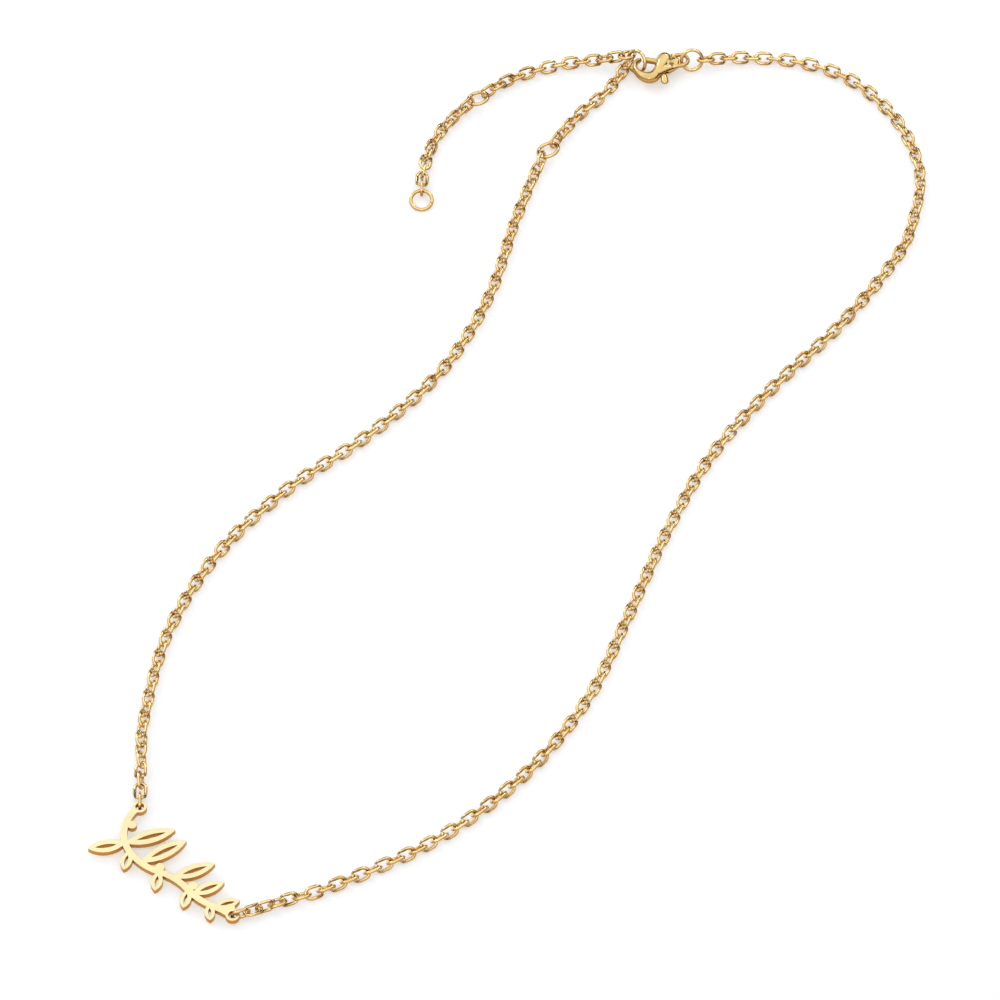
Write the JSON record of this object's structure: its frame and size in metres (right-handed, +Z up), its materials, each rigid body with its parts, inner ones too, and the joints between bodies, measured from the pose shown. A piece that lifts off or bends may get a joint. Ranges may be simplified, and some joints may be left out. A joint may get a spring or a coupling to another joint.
{
  "type": "nameplate necklace",
  "caption": "Openwork bar pendant on an oval cable chain, with a lobster clasp that hooks into an extender ending in a ring; lies flat as a closed loop.",
  "frame": {"origin": "on the table, under the middle of the necklace's outline", "axes": "+Y from the nameplate to the clasp, +Z up from the table"},
  "size_m": [0.0834, 0.184, 0.0037],
  "materials": {
    "plate": "satin gold plate, light yellow",
    "chain": "polished gold plate",
    "rings": "polished gold plate",
    "clasp": "polished gold plate"
  },
  "bodies": {
    "necklace": {"nameplate": "plate", "chain_left": "chain", "chain_left_upper": "chain", "chain_right": "chain", "extender_upper": "chain", "extender_lower": "chain", "jump_ring_hook": "rings", "jump_ring_eye": "rings", "jump_ring_left": "rings", "jump_ring_extender": "rings", "end_ring": "rings", "clasp_body": "clasp"},
    "lever": {"clasp_lever": "clasp"}
  },
  "joints": [
    {"name": "lever_pivot", "type": "hinge", "parent": "necklace", "child": "lever", "pos_m": [-0.02072, 0.07617, 0.00178], "axis": [0, 0, 1], "range_deg": [0, 14], "stiffness_Nm_per_rad": 0.001, "springref_deg": -11.46}
  ]
}
